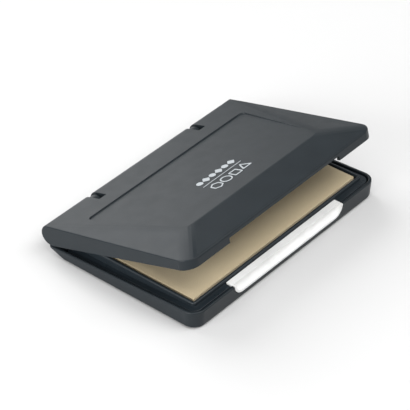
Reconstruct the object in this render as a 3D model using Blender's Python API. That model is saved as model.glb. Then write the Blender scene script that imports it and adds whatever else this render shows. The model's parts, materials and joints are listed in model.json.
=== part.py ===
"""Ink pad: a flat hinged case of moulded plastic around a felt pad with a woven cover.

Metres, +Z up. X runs along the hinge, -Y is the front, where the white strip is. The origin is under
the middle of the case, on the surface that its rubber feet stand on. The lid is a little open: its
parts hang on the empty lid_pivot, which lies on the hinge axis and carries the opening angle.
"""

import math

import bmesh
import bpy
from mathutils import Vector

MM = 0.001
GAP = 0.3 * MM

# The case
CASE_HALF_WIDTH = 50.7 * MM
CASE_FRONT_Y = -35.0 * MM
CORNER_RADIUS = 5.1 * MM
WALL = 1.2 * MM
FOOT_STAND_OFF = 0.4 * MM
FLOOR_THICKNESS = 1.2 * MM
WALL_DRAFT = 0.058
RIM_SLOPE = 0.0517
BASE_BACK_Y = 31.0 * MM
UPSWEEP_START_Y = 24.3 * MM
UPSWEEP_RISE = 3.2 * MM
LEDGE_DROP = 0.5 * MM
DECK_FRONT_Y = 25.2 * MM

# The hinge
HINGE_Y = 30.95 * MM
HINGE_Z = 8.3 * MM
BACK_RADIUS = 3.95 * MM
OPENING_ANGLE = math.radians(15.25)
HINGE_X = 27.1 * MM
SLOT_WIDTH = 3.6 * MM
SLOT_REACH = 5.0 * MM
ARM_WIDTH = 3.0 * MM
ARM_RADIUS = 3.3 * MM
ARM_FOOT_FRONT_Y = 25.8 * MM
ARM_FOOT_BACK_Y = 29.4 * MM
PIN_RADIUS = 0.8 * MM
PIN_LENGTH = 7.0 * MM
CHEEK_THICKNESS = 1.4 * MM
CHEEK_RADIUS = 2.3 * MM

# The lid, in its closed position and measured from the hinge axis
LID_FRONT_Y = CASE_FRONT_Y - HINGE_Y
LID_SKIN = 1.4 * MM
LID_SKIRT = 1.3 * MM
TOP_SLOPE = 0.0333
RIDGE_Y = -53.1 * MM
RIDGE_HALF_WIDTH = 36.35 * MM
SIDE_EDGE_Z = 3.83 * MM
SIDE_EDGE_SLOPE = 0.0136
PANEL_BACK_Y = -11.5 * MM
PANEL_HALF_BACK = 42.0 * MM
PANEL_HALF_FRONT = 36.0 * MM
PANEL_DEPTH = 0.5 * MM
PANEL_CORNER = 2.0 * MM
NOTCH_HALF_WIDTH = 30.2 * MM
NOTCH_HEIGHT = 1.8 * MM

# The pad and its frame
PAD_HALF_WIDTH = 45.0 * MM
PAD_HALF_DEPTH = 25.0 * MM
PAD_CENTRE_Y = -4.26 * MM
PAD_TOP_Z = 8.37 * MM
COVER_THICKNESS = 0.5 * MM
FRAME_WALL = 1.3 * MM
FRAME_TOP_Z = 8.2 * MM
FRAME_FLOOR = 1.0 * MM
LEDGE_THICKNESS = 1.0 * MM
LEDGE_BACK_Y = 24.9 * MM

# The strip
STRIP_HALF_WIDTH = 30.15 * MM
STRIP_TOP_Z = 7.35 * MM
STRIP_BOTTOM_Z = 3.0 * MM
STRIP_CORNER = 4.4 * MM
STRIP_BACK_Y = -31.16 * MM
STRIP_COVE_Y = -33.65 * MM
STRIP_WALL_Y = -32.75 * MM
COVE_HALF_WIDTH = 29.35 * MM
COVE_LIP_Z = 3.7 * MM
FLANGE_THICKNESS = 1.0 * MM

# The liner, the emblem and the feet
LINER_HALF_WIDTH = 45.5 * MM
LINER_FRONT_Y = -60.9 * MM
LINER_BACK_Y = -9.5 * MM
LINER_BOTTOM_Z = 1.0 * MM
LINER_PLATE = 0.7 * MM
LINER_RIB = 0.6 * MM
EMBLEM_CENTRE = (-0.5 * MM, -38.4 * MM)
EMBLEM_HALF_LENGTH = 10.4 * MM
EMBLEM_HALF_BREADTH = 0.3 * MM
EMBLEM_THICKNESS = 0.3 * MM
FOOT_RADIUS = 4.0 * MM
FOOT_THICKNESS = 0.6 * MM
FOOT_POCKET_DEPTH = 0.5 * MM
FOOT_X = 41.0 * MM
FOOT_FRONT_Y = -25.0 * MM
FOOT_BACK_Y = 16.0 * MM

FLOOR_TOP_Z = FOOT_STAND_OFF + FLOOR_THICKNESS


def clear_scene():
    for obj in list(bpy.data.objects):
        bpy.data.objects.remove(obj, do_unlink=True)


def material(name, color, roughness, metallic=0.0):
    mat = bpy.data.materials.new(name)
    mat.use_nodes = True
    shader = mat.node_tree.nodes["Principled BSDF"]
    shader.inputs["Base Color"].default_value = (*color, 1.0)
    shader.inputs["Roughness"].default_value = roughness
    shader.inputs["Metallic"].default_value = metallic
    return mat


# --- Heights of the sloping planes ---


def rim_z(y):
    """Top of the tray's wall: a plane that passes just under the lid's rounded back and rises forward."""
    drop = (BACK_RADIUS + GAP) * math.hypot(1.0, RIM_SLOPE)
    return HINGE_Z - drop - RIM_SLOPE * (y - HINGE_Y)


def skirt_z(y):
    """Lower edge of the lid's skirt, from the hinge axis, with the lid closed."""
    return -BACK_RADIUS * math.hypot(1.0, RIM_SLOPE) - RIM_SLOPE * y


def roof_z(y):
    """Lid's top plane, from the hinge axis, which the rounded back runs into."""
    return BACK_RADIUS * math.hypot(1.0, TOP_SLOPE) - TOP_SLOPE * y


def side_edge_z(y):
    return SIDE_EDGE_Z + SIDE_EDGE_SLOPE * y


RIDGE_Z = roof_z(RIDGE_Y)
FACET_SLOPE = (RIDGE_Z - side_edge_z(RIDGE_Y)) / (CASE_HALF_WIDTH - RIDGE_HALF_WIDTH)
FRONT_EDGE_Z = side_edge_z(LID_FRONT_Y)
FRONT_SLOPE = (RIDGE_Z - FRONT_EDGE_Z) / (RIDGE_Y - LID_FRONT_Y)


# --- Mesh building ---


def finish(name, bm, mat, parent=None, smooth_angle=None):
    bmesh.ops.remove_doubles(bm, verts=bm.verts, dist=1e-7)
    bmesh.ops.dissolve_degenerate(bm, edges=bm.edges, dist=1e-7)
    bmesh.ops.recalc_face_normals(bm, faces=bm.faces)
    mesh = bpy.data.meshes.new(name)
    bm.to_mesh(mesh)
    bm.free()
    if mat is not None:
        mesh.materials.append(mat)
    if smooth_angle is not None:
        mesh.shade_smooth()
        mesh.set_sharp_from_angle(angle=smooth_angle)
    obj = bpy.data.objects.new(name, mesh)
    bpy.context.scene.collection.objects.link(obj)
    obj.parent = parent
    return obj


def loft(rings):
    """A closed solid through rings of points, each with as many points as the others."""
    bm = bmesh.new()
    loops = [[bm.verts.new(point) for point in ring] for ring in rings]
    count = len(rings[0])
    for low, high in zip(loops, loops[1:]):
        for i in range(count):
            j = (i + 1) % count
            bm.faces.new((low[i], low[j], high[j], high[i]))
    bm.faces.new(list(reversed(loops[0])))
    bm.faces.new(loops[-1])
    return bm


def rounded_outline(half_width, front, back, front_radius, back_radius, segments=6):
    """Plan outline, anticlockwise from the front right corner."""
    corners = [
        (half_width, front, -90, front_radius),
        (half_width, back, 0, back_radius),
        (-half_width, back, 90, back_radius),
        (-half_width, front, 180, front_radius),
    ]
    points = []
    for x, y, start, radius in corners:
        centre_x = x - math.copysign(radius, x)
        centre_y = y + radius if y == front else y - radius
        for step in range(segments + 1):
            angle = math.radians(start + 90 * step / segments)
            points.append((centre_x + radius * math.cos(angle), centre_y + radius * math.sin(angle)))
    return points


def prism(outline, low, high):
    """Upright solid on a plan outline. low and high are heights, or functions of y."""
    low_z = low if callable(low) else lambda y: low
    high_z = high if callable(high) else lambda y: high
    return loft([
        [(x, y, low_z(y)) for x, y in outline],
        [(x, y, high_z(y)) for x, y in outline],
    ])


def box(x0, x1, y0, y1, low, high):
    return prism([(x1, y0), (x1, y1), (x0, y1), (x0, y0)], low, high)


def bar(profile, x0, x1):
    """Solid with a (y, z) profile, along X."""
    return loft([[(x0, y, z) for y, z in profile], [(x1, y, z) for y, z in profile]])


def disc(radius, x0, x1, y=0.0, z=0.0, segments=32):
    angles = [2 * math.pi * i / segments for i in range(segments)]
    return bar([(y + radius * math.cos(a), z + radius * math.sin(a)) for a in angles], x0, x1)


def upright_disc(radius, x, y, low, high, segments=32):
    angles = [2 * math.pi * i / segments for i in range(segments)]
    return prism([(x + radius * math.cos(a), y + radius * math.sin(a)) for a in angles], low, high)


def boolean(target, operation, name, bm, parent=None):
    """Cut or join: the other solid stays in the file as a hidden wire object."""
    tool = finish(name, bm, None, parent)
    tool.hide_render = True
    tool.hide_set(True)
    tool.display_type = "WIRE"
    modifier = target.modifiers.new(name, "BOOLEAN")
    modifier.operation = operation
    modifier.solver = "EXACT"
    modifier.object = tool


def cut(target, name, bm, parent=None):
    boolean(target, "DIFFERENCE", name, bm, parent)


def join(target, name, bm, parent=None):
    boolean(target, "UNION", name, bm, parent)


# --- Base ---


def arm_profile(foot_z):
    """Side outline of a hinge arm: a disc round the axis, run down to a foot on the deck."""
    hinge = Vector((HINGE_Y, HINGE_Z))
    points = [(ARM_FOOT_FRONT_Y, foot_z), (ARM_FOOT_BACK_Y, foot_z)]
    steps = 20
    for i in range(steps + 1):
        angle = math.radians(-62 + 250 * i / steps)
        points.append(tuple(hinge + ARM_RADIUS * Vector((math.cos(angle), math.sin(angle)))))
    return points


def strip_outline(grow=0.0):
    """Front outline (x, z) of the strip: straight ends whose lower corners are rounded off."""
    half = STRIP_HALF_WIDTH + grow
    bottom = STRIP_BOTTOM_Z - grow
    radius = STRIP_CORNER + grow
    steps = 8
    right = []
    for i in range(steps + 1):
        angle = math.radians(-90 + 90 * i / steps)
        right.append((half - radius + radius * math.cos(angle), bottom + radius + radius * math.sin(angle)))
    top = STRIP_TOP_Z + 5 * MM
    right.append((half, top))
    return right + [(-x, z) for x, z in reversed(right)]


def strip_front_block(grow, y0, y1):
    outline = strip_outline(grow)
    return loft([[(x, y1, z) for x, z in outline], [(x, y0, z) for x, z in outline]])


def build_base(mat):
    foot_shrink = WALL_DRAFT * (rim_z(CASE_FRONT_Y) - FOOT_STAND_OFF)
    lower = rounded_outline(
        CASE_HALF_WIDTH - foot_shrink, CASE_FRONT_Y + foot_shrink, BASE_BACK_Y,
        CORNER_RADIUS - foot_shrink, 1.5 * MM,
    )
    upper = rounded_outline(CASE_HALF_WIDTH, CASE_FRONT_Y, BASE_BACK_Y, CORNER_RADIUS, 1.5 * MM)
    base = finish("base_tray", loft([
        [(x, y, FOOT_STAND_OFF) for x, y in lower],
        [(x, y, rim_z(y)) for x, y in upper],
    ]), mat, smooth_angle=math.radians(30))

    inner = CASE_HALF_WIDTH - foot_shrink - WALL
    inner_low = rounded_outline(
        inner, CASE_FRONT_Y + foot_shrink + WALL, DECK_FRONT_Y, CORNER_RADIUS - foot_shrink - WALL, 1.0 * MM
    )
    inner_high = rounded_outline(
        CASE_HALF_WIDTH - WALL, CASE_FRONT_Y + WALL, DECK_FRONT_Y, CORNER_RADIUS - WALL, 1.0 * MM
    )
    cut(base, "cut_tray", loft([
        [(x, y, FLOOR_TOP_Z) for x, y in inner_low],
        [(x, y, rim_z(y) + MM) for x, y in inner_high],
    ]))
    deck = rounded_outline(
        CASE_HALF_WIDTH - WALL, DECK_FRONT_Y - 2 * MM, BASE_BACK_Y - WALL, 0.5 * MM, 0.5 * MM
    )
    cut(base, "cut_deck", prism(deck, lambda y: rim_z(y) - LEDGE_DROP, 2 * HINGE_Z))

    reach = 60 * MM
    cut(base, "cut_upsweep", bar([
        (UPSWEEP_START_Y, FOOT_STAND_OFF),
        (UPSWEEP_START_Y, -5 * MM),
        (BASE_BACK_Y + 5 * MM, -5 * MM),
        (BASE_BACK_Y + 5 * MM, FOOT_STAND_OFF + UPSWEEP_RISE * (BASE_BACK_Y + 5 * MM - UPSWEEP_START_Y)
         / (BASE_BACK_Y - UPSWEEP_START_Y)),
    ], -reach, reach))

    seat_z = STRIP_TOP_Z - FLANGE_THICKNESS - GAP
    cut(base, "cut_strip_front", strip_front_block(GAP, CASE_FRONT_Y - 5 * MM, STRIP_WALL_Y + GAP))
    cut(base, "cut_strip_seat", box(
        -STRIP_HALF_WIDTH - GAP, STRIP_HALF_WIDTH + GAP,
        STRIP_WALL_Y - MM, STRIP_BACK_Y + 2 * MM, seat_z, 2 * HINGE_Z,
    ))

    for side in (-1, 1):
        low, high = side * HINGE_X - ARM_WIDTH / 2, side * HINGE_X + ARM_WIDTH / 2
        join(base, f"arm_{side}", bar(arm_profile(3.2 * MM), low, high))
        cut(base, f"pin_hole_{side}", disc(
            PIN_RADIUS + GAP, low - MM, high + MM, HINGE_Y, HINGE_Z, segments=20
        ))
    for index, (x, y) in enumerate(foot_places()):
        cut(base, f"foot_pocket_{index}", upright_disc(
            FOOT_RADIUS + GAP, x, y, -MM, FOOT_STAND_OFF + FOOT_POCKET_DEPTH
        ))
    return base


# --- Pad ---


def build_frame(mat):
    half_x = PAD_HALF_WIDTH + GAP + FRAME_WALL
    half_y = PAD_HALF_DEPTH + GAP + FRAME_WALL
    front, back = PAD_CENTRE_Y - half_y, PAD_CENTRE_Y + half_y
    floor_low = FLOOR_TOP_Z + GAP
    ring = rounded_outline(half_x, front, back, 1.2 * MM, 1.2 * MM, segments=4)
    frame = finish("pad_frame", prism(ring, floor_low, FRAME_TOP_Z), mat, smooth_angle=math.radians(30))
    ledge = rounded_outline(
        CASE_HALF_WIDTH - WALL - 2 * GAP, CASE_FRONT_Y + WALL + 2 * GAP, LEDGE_BACK_Y,
        CORNER_RADIUS - WALL - 2 * GAP, 0.6 * MM,
    )
    join(frame, "ledge", prism(
        ledge, lambda y: rim_z(y) - LEDGE_DROP - LEDGE_THICKNESS, lambda y: rim_z(y) - LEDGE_DROP
    ))
    cut(frame, "cut_strip_bay", box(
        -STRIP_HALF_WIDTH - GAP, STRIP_HALF_WIDTH + GAP,
        CASE_FRONT_Y - MM, front, floor_low - MM, 2 * HINGE_Z,
    ))
    well_x, well_y = PAD_HALF_WIDTH + GAP, PAD_HALF_DEPTH + GAP
    cut(frame, "cut_well", box(
        -well_x, well_x, PAD_CENTRE_Y - well_y, PAD_CENTRE_Y + well_y,
        floor_low + FRAME_FLOOR, 2 * HINGE_Z,
    ))
    return frame


def build_pad(felt_mat, cover_mat):
    well_floor = FLOOR_TOP_Z + GAP + FRAME_FLOOR + GAP
    cover = finish("pad_cover", box(
        -PAD_HALF_WIDTH, PAD_HALF_WIDTH, PAD_CENTRE_Y - PAD_HALF_DEPTH, PAD_CENTRE_Y + PAD_HALF_DEPTH,
        well_floor, PAD_TOP_Z,
    ), cover_mat)
    inside_x, inside_y = PAD_HALF_WIDTH - COVER_THICKNESS, PAD_HALF_DEPTH - COVER_THICKNESS
    cut(cover, "cut_cover", box(
        -inside_x, inside_x, PAD_CENTRE_Y - inside_y, PAD_CENTRE_Y + inside_y,
        well_floor - MM, PAD_TOP_Z - COVER_THICKNESS,
    ))
    felt_x, felt_y = inside_x - GAP, inside_y - GAP
    finish("felt_core", box(
        -felt_x, felt_x, PAD_CENTRE_Y - felt_y, PAD_CENTRE_Y + felt_y,
        well_floor, PAD_TOP_Z - COVER_THICKNESS - GAP,
    ), felt_mat)


# --- Strip ---


def build_strip(mat):
    """A block under a thin flange, with a cove scooped out of its front between two closed ends."""
    flange_low = STRIP_TOP_Z - FLANGE_THICKNESS
    strip = finish("index_strip", bar([
        (STRIP_BACK_Y, STRIP_TOP_Z),
        (CASE_FRONT_Y, STRIP_TOP_Z),
        (CASE_FRONT_Y, STRIP_BOTTOM_Z),
        (STRIP_WALL_Y, STRIP_BOTTOM_Z),
        (STRIP_WALL_Y, flange_low),
        (STRIP_BACK_Y, flange_low),
    ], -STRIP_HALF_WIDTH, STRIP_HALF_WIDTH), mat, smooth_angle=math.radians(30))
    boolean(strip, "INTERSECT", "strip_ends", strip_front_block(0.0, CASE_FRONT_Y - 5 * MM, STRIP_BACK_Y + MM))

    depth = STRIP_COVE_Y - CASE_FRONT_Y
    height = STRIP_TOP_Z - COVE_LIP_Z
    profile = [(STRIP_COVE_Y, STRIP_TOP_Z + MM)]
    steps = 8
    for i in range(steps + 1):
        turn = math.radians(90 * i / steps)
        profile.append((
            STRIP_COVE_Y - depth * (1 - math.cos(turn)),
            STRIP_TOP_Z - 0.3 * MM - (height - 0.3 * MM) * math.sin(turn),
        ))
    profile += [(CASE_FRONT_Y - MM, COVE_LIP_Z), (CASE_FRONT_Y - MM, STRIP_TOP_Z + MM)]
    cut(strip, "cut_cove", bar(profile, -COVE_HALF_WIDTH, COVE_HALF_WIDTH))
    return strip


# --- Hinge pins and feet ---


def build_pins(mat):
    for side, name in ((-1, "hinge_pin_left"), (1, "hinge_pin_right")):
        pin = finish(name, disc(PIN_RADIUS, -PIN_LENGTH / 2, PIN_LENGTH / 2, segments=24), mat,
                     smooth_angle=math.radians(30))
        pin.location = (side * HINGE_X, HINGE_Y, HINGE_Z)


def foot_places():
    return [(side * FOOT_X, y) for y in (FOOT_FRONT_Y, FOOT_BACK_Y) for side in (-1, 1)]


def build_feet(mat):
    for index, (x, y) in enumerate(foot_places(), start=1):
        foot = finish(f"rubber_foot_{index}", upright_disc(FOOT_RADIUS, 0.0, 0.0, 0.0, FOOT_THICKNESS), mat,
                      smooth_angle=math.radians(30))
        foot.location = (x, y, 0.0)


# --- Lid ---


def lid_section(y, half, top, low, inset):
    """One cross-section of the lid: skirt, side edge, hip, and the same mirrored."""
    facet = side_edge_z(y) - inset + FACET_SLOPE * (CASE_HALF_WIDTH - half)
    edge = min(facet, top)
    hip = half - max(0.0, (top - edge) / FACET_SLOPE)
    right = [(half, y, low), (half, y, edge), (hip, y, top)]
    return right + [(-x, y, z) for x, y, z in reversed(right)]


def front_z(y):
    return FRONT_EDGE_Z + FRONT_SLOPE * (y - LID_FRONT_Y)


def lid_form(inset, skirt, open_below):
    """The lid's form as a loft of cross-sections, front to back. The cavity is the same form, set in."""
    front = LID_FRONT_Y + skirt
    half = CASE_HALF_WIDTH - skirt
    corner = CORNER_RADIUS - skirt
    radius = BACK_RADIUS - inset
    drop = 4 * MM if open_below else 0.0
    rings = []
    steps = 8
    for i in range(steps + 1):
        turn = math.radians(90 * i / steps)
        y = front + corner * (1 - math.cos(turn))
        width = half - corner + corner * math.sin(turn)
        rings.append(lid_section(y, width, front_z(y) - inset, skirt_z(y) - drop, inset))
    rings.append(lid_section(RIDGE_Y, half, RIDGE_Z - inset, skirt_z(RIDGE_Y) - drop, inset))
    rings.append(lid_section(0.0, half, radius, -BACK_RADIUS - drop, inset))
    if open_below:
        rings.append(lid_section(0.0, half, radius, -radius, inset))
    for i in range(1, steps + 1):
        turn = math.radians(90 * i / steps)
        rings.append(lid_section(
            radius * math.sin(turn), half, radius * math.cos(turn), -radius * math.cos(turn), inset
        ))
    return loft(rings)


def panel_cutter():
    """Wedge that sinks the roof panel at the back and runs out to nothing at the ridge."""
    front = RIDGE_Y + 1.0 * MM
    outline = []
    centre_back = PANEL_BACK_Y - PANEL_CORNER
    steps = 4
    for i in range(steps + 1):
        turn = math.radians(90 * i / steps)
        outline.append((
            PANEL_HALF_BACK - PANEL_CORNER + PANEL_CORNER * math.cos(turn),
            centre_back + PANEL_CORNER * math.sin(turn),
        ))
    outline += [(-x, y) for x, y in reversed(outline)]
    outline += [(-PANEL_HALF_FRONT, front), (PANEL_HALF_FRONT, front)]

    def floor_z(y):
        return roof_z(y) - PANEL_DEPTH * (y - front) / (PANEL_BACK_Y - front)

    return prism(outline, floor_z, RIDGE_Z + 5 * MM)


def cheek(side_x0, side_x1):
    """Rib beside a slot: a round boss on the axis, run up into the roof."""
    roof = BACK_RADIUS - 0.6 * MM
    points = [(CHEEK_RADIUS, roof), (-SLOT_REACH, roof), (-SLOT_REACH, 1.0 * MM)]
    steps = 12
    for i in range(steps + 1):
        angle = math.radians(200 + 160 * i / steps)
        points.append((CHEEK_RADIUS * math.cos(angle), CHEEK_RADIUS * math.sin(angle)))
    return bar(points, side_x0, side_x1)


def build_lid(mat, pivot):
    lid = finish("lid_shell", lid_form(0.0, 0.0, False), mat, pivot, smooth_angle=math.radians(25))
    cut(lid, "cut_lid_inside", lid_form(LID_SKIN, LID_SKIRT, True), pivot)
    cut(lid, "cut_panel", panel_cutter(), pivot)
    cut(lid, "cut_notch", box(
        -NOTCH_HALF_WIDTH, NOTCH_HALF_WIDTH, LID_FRONT_Y - MM, LID_FRONT_Y + 2 * LID_SKIRT,
        skirt_z(LID_FRONT_Y) - 2 * MM, skirt_z(LID_FRONT_Y) + NOTCH_HEIGHT,
    ), pivot)
    half_slot = SLOT_WIDTH / 2
    for side in (-1, 1):
        centre = side * HINGE_X
        for hand in (-1, 1):
            inner = centre + hand * (half_slot - 0.05 * MM)
            outer = centre + hand * (half_slot + CHEEK_THICKNESS)
            join(lid, f"cheek_{side}_{hand}", cheek(min(inner, outer), max(inner, outer)), pivot)
        cut(lid, f"slot_{side}", box(
            centre - half_slot, centre + half_slot, -SLOT_REACH, 2 * BACK_RADIUS,
            -2 * BACK_RADIUS, 2 * BACK_RADIUS,
        ), pivot)
        reach = half_slot + CHEEK_THICKNESS + MM
        cut(lid, f"lid_pin_hole_{side}", disc(
            PIN_RADIUS + GAP, centre - reach, centre + reach, segments=20
        ), pivot)
    return lid


def build_liner(mat, pivot):
    half = LINER_HALF_WIDTH
    top = LINER_BOTTOM_Z + LINER_PLATE + LINER_RIB
    outline = rounded_outline(half, LINER_FRONT_Y, LINER_BACK_Y, 2 * MM, 2 * MM, segments=4)
    liner = finish("lid_liner", prism(outline, LINER_BOTTOM_Z, top), mat, pivot, smooth_angle=math.radians(30))
    rib = 1.0 * MM
    well = rounded_outline(half - rib, LINER_FRONT_Y + rib, LINER_BACK_Y - rib, MM, MM, segments=4)
    cut(liner, "cut_liner", prism(well, LINER_BOTTOM_Z + LINER_PLATE, top + MM), pivot)
    return liner


def build_emblem(mat, pivot):
    """Plain raised bar on the roof panel."""
    x, y = EMBLEM_CENTRE
    front = RIDGE_Y + 1.0 * MM

    def floor_z(at):
        return roof_z(at) - PANEL_DEPTH * (at - front) / (PANEL_BACK_Y - front)

    outline = [
        (x + px, y + py)
        for px, py in rounded_outline(
            EMBLEM_HALF_LENGTH, -EMBLEM_HALF_BREADTH, EMBLEM_HALF_BREADTH, 0.3 * MM, 0.3 * MM, segments=3
        )
    ]
    return finish("lid_emblem", prism(
        outline, lambda at: floor_z(at) + 0.02 * MM, lambda at: floor_z(at) + EMBLEM_THICKNESS
    ), mat, pivot)


def main():
    clear_scene()
    case = material("case_plastic", (0.075, 0.085, 0.09), 0.38)
    insert = material("insert_plastic", (0.03, 0.037, 0.042), 0.35)
    strip = material("strip_plastic", (0.86, 0.86, 0.85), 0.35)
    felt = material("felt", (0.42, 0.37, 0.28), 0.95)
    cover = material("cover_cloth", (0.36, 0.29, 0.19), 0.9)
    liner = material("liner_plastic", (0.06, 0.068, 0.072), 0.4)
    steel = material("pin_steel", (0.6, 0.6, 0.6), 0.3, metallic=1.0)
    rubber = material("foot_rubber", (0.03, 0.03, 0.03), 0.8)
    mark = material("mark_print", (0.62, 0.64, 0.65), 0.5)

    pivot = bpy.data.objects.new("lid_pivot", None)
    bpy.context.scene.collection.objects.link(pivot)
    pivot.location = (0.0, HINGE_Y, HINGE_Z)
    pivot.rotation_euler = (-OPENING_ANGLE, 0.0, 0.0)

    build_base(case)
    build_frame(insert)
    build_pad(felt, cover)
    build_strip(strip)
    build_pins(steel)
    build_feet(rubber)
    build_lid(case, pivot)
    build_liner(liner, pivot)
    build_emblem(mark, pivot)


main()
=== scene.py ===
"""Ink pad: the looks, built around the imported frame.

Metres, in the row's frame: X along the hinge, -Y is the front, +Z up. The lid's pieces are built closed
and measured from the hinge axis, then turned open by the joint's own angle. Every moulded piece is a
solid with rounded edges made in mesh code, the pad's cover is cloth that swells over its felt, and all
materials are procedural.
"""

import json
import math

import bmesh
import bpy
import numpy as np
from mathutils import Matrix, Vector


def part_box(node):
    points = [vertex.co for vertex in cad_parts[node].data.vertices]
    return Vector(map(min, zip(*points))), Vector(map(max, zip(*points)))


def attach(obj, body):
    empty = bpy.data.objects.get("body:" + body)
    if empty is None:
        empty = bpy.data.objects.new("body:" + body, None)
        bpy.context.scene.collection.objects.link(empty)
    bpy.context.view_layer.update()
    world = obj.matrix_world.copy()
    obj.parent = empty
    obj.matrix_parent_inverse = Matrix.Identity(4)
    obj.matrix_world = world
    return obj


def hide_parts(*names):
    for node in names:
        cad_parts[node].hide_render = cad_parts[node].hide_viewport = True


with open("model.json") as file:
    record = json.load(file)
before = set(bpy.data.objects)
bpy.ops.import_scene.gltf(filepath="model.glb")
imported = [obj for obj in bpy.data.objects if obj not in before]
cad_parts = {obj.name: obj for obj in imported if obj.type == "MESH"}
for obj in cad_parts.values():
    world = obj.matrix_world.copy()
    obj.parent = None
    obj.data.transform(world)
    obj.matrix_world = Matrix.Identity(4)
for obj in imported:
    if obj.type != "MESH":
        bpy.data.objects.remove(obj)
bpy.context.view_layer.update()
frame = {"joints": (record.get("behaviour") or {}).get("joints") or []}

MM = 0.001

# The gap between pieces that touch, and a distance that is past every side of the case
GAP = 0.3 * MM
FAR = 60 * MM

# Driving sizes, read from the frame
HINGE = Vector(frame["joints"][0]["pos_m"])
OPENING = math.radians(-frame["joints"][0]["range_deg"][0])
TRAY_LOW, TRAY_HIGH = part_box("base_tray")
PAD_LOW, PAD_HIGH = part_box("pad_cover")
FRAME_LOW, FRAME_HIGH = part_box("pad_frame")
STRIP_LOW, STRIP_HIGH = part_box("index_strip")

# The case
HALF_WIDTH = TRAY_HIGH.x
FRONT_Y = TRAY_LOW.y
STAND_OFF = TRAY_LOW.z
CORNER = 5.1 * MM
WALL = 1.2 * MM
FLOOR = 1.2 * MM
DRAFT = 0.058
RIM_SLOPE = 0.0517
BACK_RADIUS = 3.95 * MM
BACK_LIP_Y = 31.9 * MM
UPSWEEP_START_Y = 24.3 * MM
UPSWEEP_SLOPE = 3.2 / 6.7
LEDGE_DROP = 0.5 * MM
DECK_FRONT_Y = 25.2 * MM
HINGE_X = 27.1 * MM
SLOT_WIDTH = 3.6 * MM
SLOT_REACH = 5.0 * MM
ARM_WIDTH = 3.0 * MM
ARM_RADIUS = 3.3 * MM
PIN_RADIUS = 0.8 * MM
PIN_PLAY = 0.1 * MM
CHEEK = 1.4 * MM
STRIP_WALL_Y = -32.75 * MM
STRIP_COVE_Y = -33.65 * MM
STRIP_FLANGE = 1.0 * MM

# The lid, closed and measured from the hinge axis
LID_FRONT = FRONT_Y - HINGE.y
SKIN = 1.4 * MM
SKIRT = 1.3 * MM
TOP_SLOPE = 0.0333
RIDGE_Y = -53.1 * MM
RIDGE_HALF = 36.35 * MM
SIDE_EDGE = 3.83 * MM
SIDE_EDGE_SLOPE = 0.0136
LID_EDGE_ROUND = 0.5 * MM
LID_FOOT_ROUND = 0.2 * MM
RIDGE_ROUND = 4.0 * MM
SIDE_HIP_ROUND = 30.0 * MM
FRONT_HIP_ROUND = 26.0 * MM
FRONT_ROUND = 1.0 * MM
PANEL_BACK = -11.5 * MM
PANEL_FRONT = RIDGE_Y + 1.0 * MM
PANEL_HALF_BACK = 42.0 * MM
PANEL_HALF_FRONT = 36.0 * MM
PANEL_DEPTH = 0.5 * MM
PANEL_CORNER = 2.0 * MM
NOTCH_HALF = 30.2 * MM
NOTCH_HEIGHT = 1.8 * MM

LINER_HALF = 45.5 * MM
LINER_FRONT = -60.9 * MM
LINER_BACK = -9.5 * MM
LINER_LOW = 1.0 * MM
LINER_PLATE = 0.7 * MM
LINER_RIB = 0.6 * MM
MARK_LEFT = -10.5 * MM
MARK_RIGHT = 9.8 * MM
MARK_FIRST_Y = -35.2 * MM
MARK_RULE_Y = -38.4 * MM
MARK_SECOND_Y = -42.5 * MM

# The pad's cover starts this much smaller, and swells by as much
COVER_SWELL = 0.3 * MM
COVER_SPREAD = 0.2 * MM
COVER_ROUND = 0.22 * MM
COVER_GRID = 1.25 * MM
SWELL_FRAMES = 20

CASE_COLOR = (0.014, 0.019, 0.023)
INSERT_COLOR = (0.015, 0.021, 0.026)
COVER_COLOR = (0.55, 0.455, 0.295)
FELT_COLOR = (0.42, 0.37, 0.28)
STRIP_COLOR = (0.82, 0.82, 0.81)
LINER_COLOR = (0.022, 0.026, 0.029)
MARK_COLOR = (0.40, 0.43, 0.45)
PIN_COLOR = (0.56, 0.56, 0.57)
FOOT_COLOR = (0.03, 0.03, 0.03)
FLOOR_COLOR = (0.66, 0.66, 0.66)

# Camera: it looks along one fixed direction at a point inside the case
CAMERA_TARGET = Vector((-8.2, -3.53, 13.82)) * MM
CAMERA_AZIMUTH = math.radians(-50.185)
CAMERA_ELEVATION = math.radians(37.167)
CAMERA_DISTANCE = 733.6 * MM
CAMERA_LENS = 185.3

# Light: a white room and large soft lights, each with its azimuth, elevation and watts
AMBIENT = 0.3
SOFTBOX_SIZE = 0.8
SOFTBOX_DISTANCE = 1.2
SOFTBOXES = (
    ("light_back_low", 159, 18, 3.2),
    ("light_back_high", 176, 45, 7.2),
    ("light_left", -96, 15, 13.8),
    ("light_front_left", -45, 45, 3.3),
    ("light_front_right", 30, 52, 5.7),
    ("light_front_high", 0, 71, 4.3),
)


# --- Heights of the sloping planes ---


def rim_z(y):
    """The base's rim, which slopes down to the back so that the closed lid clears it by the gap."""
    drop = (BACK_RADIUS + GAP) * math.hypot(1.0, RIM_SLOPE)
    return HINGE.z - drop - RIM_SLOPE * (y - HINGE.y)


def skirt_z(y):
    """The lid's lower edge, which touches its round back."""
    return -BACK_RADIUS * math.hypot(1.0, RIM_SLOPE) - RIM_SLOPE * y


def roof_z(y):
    """The lid's roof, which also touches its round back."""
    return BACK_RADIUS * math.hypot(1.0, TOP_SLOPE) - TOP_SLOPE * y


def side_edge_z(y):
    """Where the lid's facets meet its side walls."""
    return SIDE_EDGE + SIDE_EDGE_SLOPE * y


RIDGE_Z = roof_z(RIDGE_Y)
FACET_SLOPE = (RIDGE_Z - side_edge_z(RIDGE_Y)) / (HALF_WIDTH - RIDGE_HALF)
FRONT_EDGE_Z = side_edge_z(LID_FRONT)
FRONT_SLOPE = (RIDGE_Z - FRONT_EDGE_Z) / (RIDGE_Y - LID_FRONT)


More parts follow.
